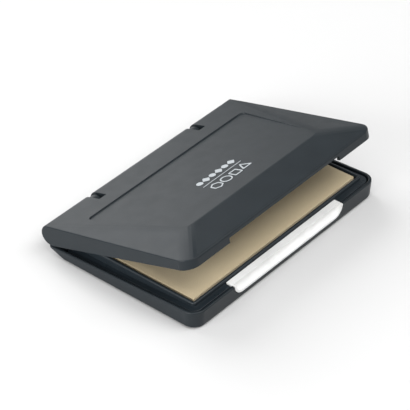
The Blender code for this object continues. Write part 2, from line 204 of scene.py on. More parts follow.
# --- Mesh tools ---

# A point this near a plane counts as on it, and points this near each other are merged
TOUCH = 1e-9
MERGE = 2e-7


def arc(centre, radius, start, end, steps):
    """Points on an arc of a plane, with angles in degrees."""
    points = []
    for i in range(steps + 1):
        angle = math.radians(start + (end - start) * i / steps)
        points.append((centre[0] + radius * math.cos(angle), centre[1] + radius * math.sin(angle)))
    return points


def curve(start, middle, end, steps):
    """Points on the curve that leaves start toward middle and comes into end from it."""
    points = []
    for i in range(steps + 1):
        t = i / steps
        points.append(tuple(
            (1 - t) ** 2 * a + 2 * t * (1 - t) * b + t ** 2 * c for a, b, c in zip(start, middle, end)
        ))
    return points


def loft(rings):
    """A closed solid through rings of points, each with as many points as the others."""
    bm = bmesh.new()
    loops = [[bm.verts.new(point) for point in ring] for ring in rings]
    count = len(rings[0])
    for low, high in zip(loops, loops[1:]):
        for i in range(count):
            j = (i + 1) % count
            bm.faces.new((low[i], low[j], high[j], high[i]))
    bm.faces.new(list(reversed(loops[0])))
    bm.faces.new(loops[-1])
    tidy(bm)
    return bm


def tidy(bm):
    """Merges points that coincide, and turns every face outward."""
    bmesh.ops.remove_doubles(bm, verts=bm.verts, dist=MERGE)
    bmesh.ops.dissolve_degenerate(bm, edges=bm.edges, dist=MERGE)
    bmesh.ops.recalc_face_normals(bm, faces=bm.faces)


def rounded_outline(half, front, back, front_radius, back_radius, segments=12):
    """Plan outline of a rounded rectangle, anticlockwise from the front right corner."""
    points = arc((half - front_radius, front + front_radius), front_radius, -90, 0, segments)
    points += arc((half - back_radius, back - back_radius), back_radius, 0, 90, segments)
    points += arc((-half + back_radius, back - back_radius), back_radius, 90, 180, segments)
    points += arc((-half + front_radius, front + front_radius), front_radius, 180, 270, segments)
    return points


def level(z):
    """A height that is the same at every y."""
    return lambda y: z


def raise_to(outline, height):
    """The plan outline at a height, which is a function of y."""
    return [(x, y, height(y)) for x, y in outline]


def prism(outline, low, high):
    """Upright solid on a plan outline. low and high are functions of y."""
    return loft([raise_to(outline, low), raise_to(outline, high)])


def box(x0, x1, y0, y1, low, high):
    return prism([(x1, y0), (x1, y1), (x0, y1), (x0, y0)], level(low), level(high))


def bar(profile, x0, x1):
    """Solid with a (y, z) profile, along X."""
    return loft([[(x0, y, z) for y, z in profile], [(x1, y, z) for y, z in profile]])


def disc(radius, x0, x1, y=0.0, z=0.0, segments=48):
    return bar(arc((y, z), radius, 0, 360 - 360 / segments, segments - 1), x0, x1)


def turned(profile, segments=48):
    """Solid of revolution about Z through (radius, z) points, the first and last on the axis."""
    bm = bmesh.new()
    rings = []
    for radius, z in profile:
        if radius == 0.0:
            rings.append([bm.verts.new((0.0, 0.0, z))])
        else:
            rings.append([
                bm.verts.new((x, y, z))
                for x, y in arc((0.0, 0.0), radius, 0, 360 - 360 / segments, segments - 1)
            ])
    for low, high in zip(rings, rings[1:]):
        for i in range(segments):
            j = (i + 1) % segments
            if len(low) == 1:
                bm.faces.new((low[0], high[j], high[i]))
            elif len(high) == 1:
                bm.faces.new((low[i], low[j], high[0]))
            else:
                bm.faces.new((low[i], low[j], high[j], high[i]))
    tidy(bm)
    return bm


def unit(vector):
    vector = np.array(vector, dtype=float)
    return vector / np.linalg.norm(vector)


def between(normal_a, normal_b, share):
    """Unit vector part of the way round from one unit vector to another."""
    angle = math.acos(min(1.0, float(normal_a @ normal_b)))
    part_a, part_b = math.sin((1.0 - share) * angle), math.sin(share * angle)
    return (part_a * normal_a + part_b * normal_b) / math.sin(angle)


class Convex:
    """A convex solid as points and faces with exact normals, so that many planes can be cut from it."""

    def __init__(self, outline, low, high):
        count = len(outline)
        self.points = [np.array((x, y, z)) for z in (low, high) for x, y in outline]
        self.faces = [
            (unit((0.0, 0.0, -1.0)), list(reversed(range(count)))),
            (unit((0.0, 0.0, 1.0)), list(range(count, 2 * count))),
        ]
        for i in range(count):
            j = (i + 1) % count
            run_x, run_y = outline[j][0] - outline[i][0], outline[j][1] - outline[i][1]
            self.faces.append((unit((run_y, -run_x, 0.0)), [i, j, count + j, count + i]))

    def cut(self, point, normal):
        """Takes away everything on the normal's side of the plane through point."""
        height = np.array(self.points) @ normal - np.array(point) @ normal
        outside = height > TOUCH
        crossings, rim, kept = {}, {}, []
        for face_normal, loop in self.faces:
            new_loop = []
            leave = enter = None
            for i, j in zip(loop, loop[1:] + loop[:1]):
                if not outside[i]:
                    new_loop.append(i)
                if outside[i] == outside[j]:
                    continue
                key = (min(i, j), max(i, j))
                if key not in crossings:
                    share = height[key[0]] / (height[key[0]] - height[key[1]])
                    crossings[key] = len(self.points)
                    self.points.append(self.points[key[0]] * (1.0 - share) + self.points[key[1]] * share)
                new_loop.append(crossings[key])
                if outside[j]:
                    leave = crossings[key]
                else:
                    enter = crossings[key]
            if new_loop:
                kept.append((face_normal, new_loop))
            if leave is not None:
                rim[enter] = leave
        if rim:
            cap = [next(iter(rim))]
            while rim[cap[-1]] != cap[0]:
                cap.append(rim[cap[-1]])
            kept.append((normal, cap))
        self.faces = kept

    def round_edge(self, point, normal_a, normal_b, radius, steps=5):
        """Rounds the edge of two planes that meet at point, by cutting with the planes in between."""
        middle = unit(normal_a + normal_b)
        centre = point - middle * (radius / (middle @ normal_a))
        for i in range(1, steps + 1):
            normal = between(normal_a, normal_b, i / (steps + 1))
            self.cut(centre + normal * radius, normal)

    def soften(self, chosen, radius, steps):
        """Rounds every edge whose two face normals are chosen."""
        first = {}
        edges = []
        for normal, loop in self.faces:
            for i, j in zip(loop, loop[1:] + loop[:1]):
                first[(i, j)] = normal
                other = first.get((j, i))
                if other is not None and chosen(normal, other):
                    edges.append((self.points[i], normal, other))
        for point, normal_a, normal_b in edges:
            self.round_edge(point, normal_a, normal_b, radius, steps)

    def to_bmesh(self):
        bm = bmesh.new()
        used = sorted({i for _, loop in self.faces for i in loop})
        verts = {i: bm.verts.new(self.points[i]) for i in used}
        for _, loop in self.faces:
            bm.faces.new([verts[i] for i in loop])
        tidy(bm)
        return bm


def rounded_block(low, high, radius, steps):
    """A block between two corners, with every edge rounded."""
    form = Convex([(high.x, low.y), (high.x, high.y), (low.x, high.y), (low.x, low.y)], low.z, high.z)
    form.soften(lambda a, b: True, radius, steps)
    return form.to_bmesh()


def bevel_where(bm, chosen, offset, segments):
    """Rounds the edges whose two faces are chosen."""
    bm.normal_update()
    edges = [e for e in bm.edges if len(e.link_faces) == 2 and chosen(*e.link_faces)]
    bmesh.ops.bevel(
        bm, geom=edges, offset=offset, offset_type="OFFSET", segments=segments, profile=0.5,
        affect="EDGES", clamp_overlap=False, loop_slide=True,
    )
    tidy(bm)


def to_object(name, bm):
    mesh = bpy.data.meshes.new(name)
    bm.to_mesh(mesh)
    bm.free()
    obj = bpy.data.objects.new(name, mesh)
    bpy.context.scene.collection.objects.link(obj)
    return obj


def settle(obj):
    """Applies the object's modifiers to its mesh."""
    graph = bpy.context.evaluated_depsgraph_get()
    mesh = bpy.data.meshes.new_from_object(obj.evaluated_get(graph))
    old = obj.data
    obj.modifiers.clear()
    obj.data = mesh
    bpy.data.meshes.remove(old)


def taken(obj):
    """The object's mesh, with the object removed."""
    bm = bmesh.new()
    bm.from_mesh(obj.data)
    bpy.data.objects.remove(obj)
    return bm


def boolean(obj, operation, *tools):
    for bm in tools:
        tool = to_object("tool", bm)
        modifier = obj.modifiers.new("boolean", "BOOLEAN")
        modifier.operation = operation
        modifier.solver = "EXACT"
        modifier.object = tool
        settle(obj)
        mesh = tool.data
        bpy.data.objects.remove(tool)
        bpy.data.meshes.remove(mesh)


def carve(obj, *tools):
    boolean(obj, "DIFFERENCE", *tools)


def add(obj, *tools):
    boolean(obj, "UNION", *tools)


def break_edges(obj, width, segments=2, angle=40):
    """A small round on every hard edge, as any moulding has."""
    modifier = obj.modifiers.new("edges", "BEVEL")
    modifier.width = width
    modifier.segments = segments
    modifier.limit_method = "ANGLE"
    modifier.angle_limit = math.radians(angle)
    modifier.use_clamp_overlap = True
    modifier.miter_outer = "MITER_ARC"
    settle(obj)


def shade(obj, angle=30):
    """Smooth where faces meet softly, with the large faces kept flat."""
    obj.data.shade_smooth()
    obj.data.set_sharp_from_angle(angle=math.radians(angle))
    modifier = obj.modifiers.new("normals", "WEIGHTED_NORMAL")
    modifier.keep_sharp = True
    modifier.weight = 50


def place(obj, body, slot, mat, *nodes):
    """Gives the piece its material, and says which CAD nodes it replaces and which body it rides on."""
    obj.data.materials.clear()
    obj.data.materials.append(mat)
    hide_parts(*nodes)
    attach(obj, body)


def on_lid(obj):
    """Turns a piece built round the hinge axis to the place where the open lid has it."""
    obj.data.transform(Matrix.Translation(HINGE) @ Matrix.Rotation(-OPENING, 4, "X"))
    return obj


# --- Materials ---


class Nodes:
    """Short calls for building one material's nodes."""

    def __init__(self, name, color, roughness, metallic=0.0, specular=0.5):
        self.mat = bpy.data.materials.new(name)
        self.mat.use_nodes = True
        self.tree = self.mat.node_tree
        self.shader = self.tree.nodes["Principled BSDF"]
        self.shader.inputs["Base Color"].default_value = (*color, 1.0)
        self.shader.inputs["Roughness"].default_value = roughness
        self.shader.inputs["Metallic"].default_value = metallic
        self.shader.inputs["Specular IOR Level"].default_value = specular
        self.place = self.new("ShaderNodeTexCoord").outputs["Object"]

    def new(self, kind, **settings):
        node = self.tree.nodes.new(kind)
        for key, value in settings.items():
            setattr(node, key, value)
        return node

    def link(self, source, target):
        self.tree.links.new(source, target)

    def stretch(self, scale, rotation=(0.0, 0.0, 0.0)):
        node = self.new("ShaderNodeMapping")
        node.inputs["Scale"].default_value = scale
        node.inputs["Rotation"].default_value = rotation
        self.link(self.place, node.inputs["Vector"])
        return node.outputs["Vector"]

    def noise(self, size, detail=3.0, rough=0.5, vector=None):
        """Noise whose features are about size metres across."""
        node = self.new("ShaderNodeTexNoise")
        node.inputs["Scale"].default_value = 1.0 / size
        node.inputs["Detail"].default_value = detail
        node.inputs["Roughness"].default_value = rough
        self.link(vector or self.place, node.inputs["Vector"])
        return node.outputs["Fac"]

    def span(self, value, low, high, to_low, to_high):
        node = self.new("ShaderNodeMapRange")
        node.inputs["From Min"].default_value = low
        node.inputs["From Max"].default_value = high
        node.inputs["To Min"].default_value = to_low
        node.inputs["To Max"].default_value = to_high
        self.link(value, node.inputs["Value"])
        return node.outputs["Result"]

    def math(self, operation, a, b):
        node = self.new("ShaderNodeMath", operation=operation)
        for value, socket in ((a, node.inputs[0]), (b, node.inputs[1])):
            if isinstance(value, (int, float)):
                socket.default_value = value
            else:
                self.link(value, socket)
        return node.outputs["Value"]

    def mix(self, factor, color_a, color_b):
        node = self.new("ShaderNodeMix", data_type="RGBA")
        sockets = node.inputs["Factor"], node.inputs[6], node.inputs[7]
        for value, socket in zip((factor, color_a, color_b), sockets):
            if isinstance(value, tuple):
                socket.default_value = (*value, 1.0)
            elif isinstance(value, float):
                socket.default_value = value
            else:
                self.link(value, socket)
        return node.outputs[2]

    def bump(self, height, strength, distance, normal=None):
        node = self.new("ShaderNodeBump")
        node.inputs["Strength"].default_value = strength
        node.inputs["Distance"].default_value = distance
        self.link(height, node.inputs["Height"])
        if normal is not None:
            self.link(normal, node.inputs["Normal"])
        return node.outputs["Normal"]

    def out(self, socket, value):
        self.link(value, self.shader.inputs[socket])


def scaled(color, factor):
    return tuple(channel * factor for channel in color)


def moulded(name, color, roughness, specular=0.5, grain=0.35):
    """Moulded plastic: fine spark grain, slow changes of tone and gloss, and a few hairline marks."""
    m = Nodes(name, color, roughness, specular=specular)
    cloud = m.noise(9 * MM, detail=4.0)
    speck = m.noise(0.6 * MM, detail=2.0)
    tone = m.mix(m.span(cloud, 0.3, 0.7, 0.0, 1.0), scaled(color, 0.93), scaled(color, 1.07))
    m.out("Base Color", m.mix(m.span(speck, 0.62, 0.78, 0.0, 0.25), tone, scaled(color, 1.25)))

    scratch = m.noise(0.5 * MM, detail=2.0, vector=m.stretch((1.0, 0.035, 1.0), (0.0, 0.0, 0.5)))
    scratch = m.span(scratch, 0.70, 0.76, 0.0, 1.0)
    gloss = m.span(m.noise(5 * MM, detail=5.0), 0.3, 0.7, roughness - 0.03, roughness + 0.03)
    m.out("Roughness", m.math("ADD", gloss, m.math("MULTIPLY", scratch, 0.05)))

    fine = m.noise(0.22 * MM, detail=2.0, rough=0.6)
    m.out("Normal", m.bump(fine, grain, 0.012 * MM))
    return m.mat


def woven(name, warp_color, weft_color, pitch):
    """Plain weave: warp and weft threads that pass over and under each other, with fuzz, and painted shade
    in the low places between the threads.
    """
    m = Nodes(name, warp_color, 0.92, specular=0.25)
    m.shader.inputs["Sheen Weight"].default_value = 0.25
    m.shader.inputs["Sheen Roughness"].default_value = 0.45
    split = m.new("ShaderNodeSeparateXYZ")
    wander = m.new("ShaderNodeTexNoise")
    wander.inputs["Scale"].default_value = 1.0 / (4 * MM)
    m.link(m.place, wander.inputs["Vector"])
    shift = m.new("ShaderNodeVectorMath", operation="SCALE")
    shift.inputs["Scale"].default_value = 0.35 * MM
    m.link(wander.outputs["Color"], shift.inputs[0])
    moved = m.new("ShaderNodeVectorMath", operation="ADD")
    m.link(m.place, moved.inputs[0])
    m.link(shift.outputs[0], moved.inputs[1])
    m.link(moved.outputs[0], split.inputs[0])

    step = math.pi / pitch
    along_x = m.math("SINE", m.math("MULTIPLY", split.outputs["X"], step), 0.0)
    across = m.math("ADD", split.outputs["Y"], split.outputs["Z"])
    along_y = m.math("SINE", m.math("MULTIPLY", across, step), 0.0)
    over = m.math("MULTIPLY", along_x, along_y)
    warp = m.math("ABSOLUTE", along_x, 0.0)
    weft = m.math("ABSOLUTE", along_y, 0.0)
    side = m.math("GREATER_THAN", over, 0.0)
    warp_height = m.math("MULTIPLY", warp, side)
    weft_height = m.math("MULTIPLY", weft, m.math("SUBTRACT", 1.0, side))
    height = m.math("ADD", warp_height, weft_height)

    fibre = m.noise(0.12 * MM, detail=3.0, rough=0.7)
    cloud = m.noise(7 * MM, detail=4.0)
    tone = m.mix(side, weft_color, warp_color)
    # Painted shade: the colour darkens where the threads are low, in the hollows between them
    tone = m.mix(m.span(height, 0.0, 0.55, 0.35, 0.0), tone, scaled(weft_color, 0.55))
    tone = m.mix(m.span(fibre, 0.35, 0.75, 0.0, 0.30), tone, scaled(warp_color, 1.25))
    tone = m.mix(m.span(cloud, 0.3, 0.7, 0.0, 0.22), tone, scaled(warp_color, 0.82))
    m.out("Base Color", tone)
    normal = m.bump(height, 0.45, 0.05 * MM)
    m.out("Normal", m.bump(fibre, 0.35, 0.02 * MM, normal))
    return m.mat


def pressed_felt(name, color):
    """Felt: fibres that lie in two crossing directions."""
    m = Nodes(name, color, 0.97, specular=0.2)
    m.shader.inputs["Sheen Weight"].default_value = 0.3
    fibre = m.noise(0.35 * MM, detail=6.0, rough=0.7, vector=m.stretch((1.0, 0.3, 1.0), (0.0, 0.0, 0.9)))
    other = m.noise(0.35 * MM, detail=6.0, rough=0.7, vector=m.stretch((0.3, 1.0, 1.0), (0.0, 0.0, 0.4)))
    both = m.math("MULTIPLY", fibre, other)
    m.out("Base Color", m.mix(m.span(both, 0.15, 0.4, 0.0, 1.0), scaled(color, 0.7), scaled(color, 1.2)))
    m.out("Normal", m.bump(both, 0.8, 0.15 * MM))
    return m.mat


def turned_steel(name):
    """Bright steel with fine turning rings round the pin."""
    m = Nodes(name, PIN_COLOR, 0.28, metallic=1.0)
    ring = m.noise(0.08 * MM, detail=2.0, vector=m.stretch((1.0, 0.05, 0.05)))
    m.out("Roughness", m.span(ring, 0.3, 0.7, 0.20, 0.40))
    m.out("Normal", m.bump(ring, 0.25, 0.006 * MM))
    return m.mat


def rubber(name, color):
    """Dull rubber with a little dust."""
    m = Nodes(name, color, 0.8, specular=0.3)
    dust = m.noise(1.2 * MM, detail=5.0)
    m.out("Base Color", m.mix(m.span(dust, 0.45, 0.75, 0.0, 0.6), color, scaled(color, 2.2)))
    m.out("Normal", m.bump(m.noise(0.25 * MM, detail=3.0), 0.5, 0.02 * MM))
    return m.mat


def printed(name, color):
    """Light ink with the small gaps and uneven cover of pad printing."""
    m = Nodes(name, color, 0.5, specular=0.4)
    cover = m.noise(0.3 * MM, detail=4.0, rough=0.6)
    m.out("Base Color", m.mix(m.span(cover, 0.60, 0.75, 0.0, 0.5), color, scaled(color, 0.55)))
    m.out("Normal", m.bump(cover, 0.3, 0.01 * MM))
    return m.mat


# --- Base ---


def build_tray(mat):
    """The tray: its shell, then the deck, the hollows, the strip's seat, the hinge arms and the pockets for
    the feet.
    """
    tray = to_object("base_case", tray_shell())
    deck = rounded_outline(
        HALF_WIDTH - WALL, DECK_FRONT_Y - 2 * MM, BACK_LIP_Y - 1.2 * MM, 0.5 * MM, 0.5 * MM, 4,
    )
    carve(tray, prism(deck, under_rim(LEDGE_DROP), level(2 * HINGE.z)))
    carve(tray, bar([
        (UPSWEEP_START_Y, STAND_OFF),
        (UPSWEEP_START_Y, -5 * MM),
        (BACK_LIP_Y + 5 * MM, -5 * MM),
        (BACK_LIP_Y + 5 * MM, STAND_OFF + UPSWEEP_SLOPE * (BACK_LIP_Y + 5 * MM - UPSWEEP_START_Y)),
    ], -FAR, FAR))
    carve(tray, disc(BACK_RADIUS + GAP, -FAR, FAR, HINGE.y, HINGE.z, segments=96))

    carve(tray, strip_block(GAP, FRONT_Y - 5 * MM, STRIP_WALL_Y + GAP))
    carve(tray, box(
        STRIP_LOW.x - GAP, STRIP_HIGH.x + GAP, STRIP_COVE_Y - 0.05 * MM, STRIP_HIGH.y + 2 * MM,
        STRIP_HIGH.z - STRIP_FLANGE - GAP, 2 * HINGE.z,
    ))
    for side in (-1, 1):
        low, high = side * HINGE_X - ARM_WIDTH / 2, side * HINGE_X + ARM_WIDTH / 2
        add(tray, hinge_arm(low, high))
        carve(tray, disc(PIN_RADIUS + PIN_PLAY, low - MM, high + MM, HINGE.y, HINGE.z, segments=32))
    for low, high in foot_boxes():
        centre = (low + high) / 2
        radius = (high.x - low.x) / 2 + GAP
        pocket = turned([(0.0, -MM), (radius, -MM), (radius, 0.9 * MM), (0.0, 0.9 * MM)])
        bmesh.ops.translate(pocket, verts=pocket.verts, vec=(centre.x, centre.y, 0.0))
        carve(tray, pocket)
    shade(tray)
    place(tray, "base", "case_plastic", mat, "base_tray")


def under_rim(depth):
    """The rim's height, less depth."""
    return lambda y: rim_z(y) - depth


def tray_shell():
    """A stack of outlines: round the bottom edge, up the wall, over the rim, and down to the floor."""
    foot = DRAFT * (rim_z(FRONT_Y) - STAND_OFF)
    bottom_round = 0.8 * MM
    rim_round = 0.6 * MM
    inner_round = 0.3 * MM
    floor_round = 0.6 * MM

    def ring(inset, height, back_y=BACK_LIP_Y):
        return raise_to(rounded_outline(
            HALF_WIDTH - inset, FRONT_Y + inset, back_y,
            max(CORNER - inset, 0.3 * MM), max(1.5 * MM - inset, 0.3 * MM),
        ), height)

    rings = []
    for inset, z in arc((bottom_round, bottom_round), bottom_round, 270, 180, 5):
        rings.append(ring(foot + inset, level(STAND_OFF + z)))
    for inset, z in arc((rim_round, -rim_round), rim_round, 180, 90, 6):
        rings.append(ring(inset, under_rim(-z)))
    for inset, z in arc((WALL - inner_round, -inner_round), inner_round, 90, 0, 4):
        rings.append(ring(inset, under_rim(-z), DECK_FRONT_Y))
    floor_z = STAND_OFF + FLOOR
    for inset, z in arc((WALL + foot + floor_round, floor_z + floor_round), floor_round, 180, 270, 4):
        rings.append(ring(inset, level(z), DECK_FRONT_Y))
    return loft(rings)


def hinge_arm(x0, x1):
    """An arm that stands up from the deck to the hinge axis and ends in a round eye."""
    foot_z = 3.3 * MM
    profile = [(25.8 * MM, foot_z), (29.4 * MM, foot_z)]
    arm = bar(profile + arc((HINGE.y, HINGE.z), ARM_RADIUS, -62, 188, 36), x0, x1)
    bevel_where(arm, lambda a, b: abs(a.normal.x - b.normal.x) > 0.5, 0.2 * MM, 2)
    return arm


def foot_boxes():
    return [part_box(f"rubber_foot_{i}") for i in range(1, 5)]


def build_frame(mat):
    """The insert as one stack of outlines: its ledge, the raised lip round the pad, and the well."""
    lip = 1.3 * MM
    lip_round = lip / 2
    ledge_half = FRAME_HIGH.x
    ledge_front, ledge_back = FRAME_LOW.y, FRAME_HIGH.y
    well_x = PAD_HIGH.x + GAP
    well_front, well_back = PAD_LOW.y - GAP, PAD_HIGH.y + GAP
    under = FRAME_LOW.z
    edge = 0.3 * MM
    corner = CORNER - WALL - 2 * GAP

    def ring(half, front, back, radius, height):
        return raise_to(rounded_outline(half, front, back, radius, min(radius, 1.2 * MM), 8), height)

    def ledge_ring(inset, drop):
        return ring(
            ledge_half - inset, ledge_front + inset, ledge_back - inset, corner - inset,
            under_rim(LEDGE_DROP + drop),
        )

    def lip_ring(out, height):
        return ring(well_x + out, well_front - out, well_back + out, max(out, 0.25 * MM), height)

    rings = [
        lip_ring(lip, level(under)),
        lip_ring(lip, level(under + 3.2 * MM)),
        ledge_ring(0.0, 1.0 * MM),
    ]
    rings += [ledge_ring(inset, -z) for inset, z in arc((edge, -edge), edge, 180, 90, 4)]
    rings.append(lip_ring(lip + 0.35 * MM, under_rim(LEDGE_DROP)))
    rings.append(lip_ring(lip + 0.08 * MM, under_rim(LEDGE_DROP - 0.12 * MM)))
    lip_arc = arc((lip_round, FRAME_HIGH.z - lip_round), lip_round, 0, 180, 10)
    rings += [lip_ring(out, level(z)) for out, z in lip_arc]
    floor_z = under + 1.0 * MM
    rings.append(lip_ring(0.0, level(floor_z + 0.3 * MM)))
    rings.append(lip_ring(-0.3 * MM, level(floor_z)))
    frame_piece = to_object("pad_holder", loft(rings))
    carve(frame_piece, box(
        STRIP_LOW.x - GAP, STRIP_HIGH.x + GAP, FRONT_Y - MM, well_front - lip - 0.02 * MM,
        under - MM, 2 * HINGE.z,
    ))
    shade(frame_piece)
    place(frame_piece, "base", "insert_plastic", mat, "pad_frame")


# --- Strip ---


def strip_block(grow, y0, y1):
    """The strip's front outline, with straight ends and round lower corners, run from y0 to y1."""
    half = STRIP_HIGH.x + grow
    low = STRIP_LOW.z - grow
    radius = 4.4 * MM + grow
    right = arc((half - radius, low + radius), radius, -90, 0, 16)
    right.append((half, STRIP_HIGH.z + 5 * MM))
    outline = right + [(-x, z) for x, z in reversed(right)]
    return loft([[(x, y1, z) for x, z in outline], [(x, y0, z) for x, z in outline]])


def build_strip(mat):
    """The strip: a flange over the base's wall, a front that fills the wall's notch, and a finger cove."""
    top, low = STRIP_HIGH.z, STRIP_LOW.z
    front, back = STRIP_LOW.y, STRIP_HIGH.y
    under_flange = top - STRIP_FLANGE
    block = bar([
        (back, top), (front, top), (front, low),
        (STRIP_WALL_Y, low), (STRIP_WALL_Y, under_flange), (back, under_flange),
    ], STRIP_LOW.x, STRIP_HIGH.x)
    strip = to_object("front_strip", block)
    boolean(strip, "INTERSECT", strip_block(0.0, FRONT_Y - 5 * MM, back + MM))

    end = 0.8 * MM
    undercut = 1.2 * MM
    lip_z = low + 0.7 * MM
    cove_top, cove_middle = (STRIP_COVE_Y, top - 0.35 * MM), (STRIP_COVE_Y + undercut, low + 1.8 * MM)
    profile = [(STRIP_COVE_Y, top + MM)] + curve(cove_top, cove_middle, (front, lip_z), 16)
    profile += [(front - MM, lip_z - MM), (front - MM, top + MM)]
    scoop = to_object("scoop", bar(profile, STRIP_LOW.x, STRIP_HIGH.x))
    boolean(scoop, "INTERSECT", strip_block(-end, front - 2 * MM, STRIP_COVE_Y + MM))
    carve(strip, taken(scoop))
    break_edges(strip, 0.18 * MM)
    shade(strip)
    place(strip, "base", "strip_plastic", mat, "index_strip")


# --- Lid ---


def plane_normal(slope_x, slope_y):
    """Upward normal of z = slope_x * x + slope_y * y."""
    return unit((-slope_x, -slope_y, 1.0))


ROOF_NORMAL = plane_normal(0.0, -TOP_SLOPE)
SLOPE_NORMAL = plane_normal(0.0, FRONT_SLOPE)
SKIRT_NORMAL = -plane_normal(0.0, -RIM_SLOPE)


def facet_normal(side):
    return plane_normal(-side * FACET_SLOPE, SIDE_EDGE_SLOPE)


def lid_block(inset, wall, low_z, back_y):
    """Convex form with the lid's outline, roof, front slope and facets, all set in by the same amount."""
    outline = rounded_outline(HALF_WIDTH - wall, LID_FRONT + wall, back_y, CORNER - wall, 0.01 * MM, 16)
    form = Convex(outline, low_z, 12 * MM)
    ridge = (0.0, RIDGE_Y, RIDGE_Z - inset)
    form.cut(ridge, ROOF_NORMAL)
    form.cut(ridge, SLOPE_NORMAL)
    for side in (-1, 1):
        form.cut((side * HALF_WIDTH, 0.0, SIDE_EDGE - inset), facet_normal(side))
    return form


def lid_form():
    """The lid's outside, with soft ridges, its skirt plane and its round back."""
    form = lid_block(0.0, 0.0, -12 * MM, BACK_RADIUS + MM)
    form.round_edge((0.0, RIDGE_Y, RIDGE_Z), ROOF_NORMAL, SLOPE_NORMAL, RIDGE_ROUND)
    form.round_edge((0.0, LID_FRONT, FRONT_EDGE_Z), SLOPE_NORMAL, unit((0.0, -1.0, 0.0)), FRONT_ROUND)
    for side in (-1, 1):
        corner = (side * RIDGE_HALF, RIDGE_Y, RIDGE_Z)
        form.round_edge(corner, ROOF_NORMAL, facet_normal(side), SIDE_HIP_ROUND)
        form.round_edge(corner, SLOPE_NORMAL, facet_normal(side), FRONT_HIP_ROUND, steps=12)
    start = math.degrees(math.atan2(ROOF_NORMAL[2], ROOF_NORMAL[1]))
    end = math.degrees(math.atan2(SKIRT_NORMAL[2], SKIRT_NORMAL[1]))
    for y, z in arc((0.0, 0.0), 1.0, start, end, 30)[1:]:
        normal = unit((0.0, y, z))
        form.cut(normal * BACK_RADIUS, normal)

    def on_upper_rim(a, b):
        return is_wall(a) != is_wall(b) and min(a[2], b[2]) > -0.99

    def on_foot(a, b):
        return is_wall(a) != is_wall(b) and min(a[2], b[2]) < -0.99

    form.soften(on_upper_rim, LID_EDGE_ROUND, 4)
    form.soften(on_foot, LID_FOOT_ROUND, 2)
    return form.to_bmesh()


def is_wall(normal):
    return abs(normal[2]) < 0.01 and normal[1] < 0.01


def panel_cutter(grow, depth_scale, lean):
    """Wedge that sinks the roof panel: deepest at the back, level with the roof just behind the ridge."""
    half_back, half_front, back = PANEL_HALF_BACK + grow, PANEL_HALF_FRONT + grow, PANEL_BACK + grow
    right = arc((half_back - PANEL_CORNER, back - PANEL_CORNER), PANEL_CORNER, 0, 90, 8)
    outline = right + [(-x, y) for x, y in reversed(right)]
    outline += [(-half_front, PANEL_FRONT), (half_front, PANEL_FRONT)]
    form = Convex([(FAR, -FAR), (FAR, 0.0), (-FAR, 0.0), (-FAR, -FAR)], -FAR, 10 * MM)
    for (x0, y0), (x1, y1) in zip(outline, outline[1:] + outline[:1]):
        if y0 == y1 == PANEL_FRONT:
            form.cut((x0, PANEL_FRONT - 0.4 * MM, 0.0), unit((0.0, -1.0, 0.0)))
            continue
        run = np.array((x1 - x0, y1 - y0, roof_z(y1) - roof_z(y0)))
        upward = unit((run[1], -run[0], 0.0)) * lean + (0.0, 0.0, 1.0)
        form.cut((x0, y0, roof_z(y0)), unit(np.cross(run, upward)))
    rise = depth_scale * PANEL_DEPTH / (PANEL_BACK - PANEL_FRONT)
    floor_normal = -plane_normal(0.0, -TOP_SLOPE - rise)
    form.cut((0.0, PANEL_FRONT, roof_z(PANEL_FRONT)), floor_normal)
    form.soften(lambda a, b: min(a[2], b[2]) < -0.9 < max(a[2], b[2]), 0.15 * MM * depth_scale, 3)
    return form.to_bmesh()


def cheek(x0, x1):
    """Rib beside a slot: a round boss on the axis, run up into the roof."""
    roof = BACK_RADIUS - 0.6 * MM
    front = 0.3 * MM - SLOT_REACH
    points = [(1.6 * MM, roof), (front, roof), (front, 1.0 * MM)]
    return bar(points + arc((0.0, 0.0), 2.3 * MM, 200, 360, 24), x0, x1)


def build_lid(mat):
    """The lid: hollowed out, then its sunk panel, its notch, and the slots with a cheek on each side."""
    lid = to_object("lid_case", lid_form())
    inside = HALF_WIDTH - SKIRT
    carve(lid, lid_block(SKIN, SKIRT, -12 * MM, -0.1 * MM).to_bmesh())
    carve(lid, disc(BACK_RADIUS - SKIN, -inside, inside, segments=72))
    carve(lid, panel_cutter(0.0, 1.0, 0.35))
    carve(lid, panel_cutter(0.12 * MM, 0.25, 1.0))
    notch = box(
        -NOTCH_HALF, NOTCH_HALF, LID_FRONT - MM, LID_FRONT + 2 * SKIRT,
        skirt_z(LID_FRONT) - 2 * MM, skirt_z(LID_FRONT) + NOTCH_HEIGHT,
    )
    bevel_where(notch, lambda a, b: a.normal.z > 0.5 or b.normal.z > 0.5, 0.4 * MM, 3)
    carve(lid, notch)
    half_slot = SLOT_WIDTH / 2
    for side in (-1, 1):
        centre = side * HINGE_X
        for hand in (-1, 1):
            inner = centre + hand * (half_slot - 0.05 * MM)
            outer = centre + hand * (half_slot + CHEEK)
            add(lid, cheek(min(inner, outer), max(inner, outer)))
        slot = box(
            centre - half_slot, centre + half_slot, -SLOT_REACH, 2 * BACK_RADIUS,
            -2 * BACK_RADIUS, 2 * BACK_RADIUS,
        )
        carve(lid, slot)
        reach = half_slot + CHEEK + MM
        carve(lid, disc(PIN_RADIUS + PIN_PLAY, centre - reach, centre + reach, segments=32))
    on_lid(lid)
    shade(lid)
    place(lid, "lid", "case_plastic", mat, "lid_shell")


# --- Liner, pins, feet and mark ---


def stack(rows, half, front, back, corner):
    """Loft of one rounded rectangle, set in and raised row by row."""
    return loft([
        [(x, y, z) for x, y in rounded_outline(
            half - inset, front + inset, back - inset,
            max(corner - inset, 0.2 * MM), max(corner - inset, 0.2 * MM), 8,
        )]
        for inset, z in rows
    ])


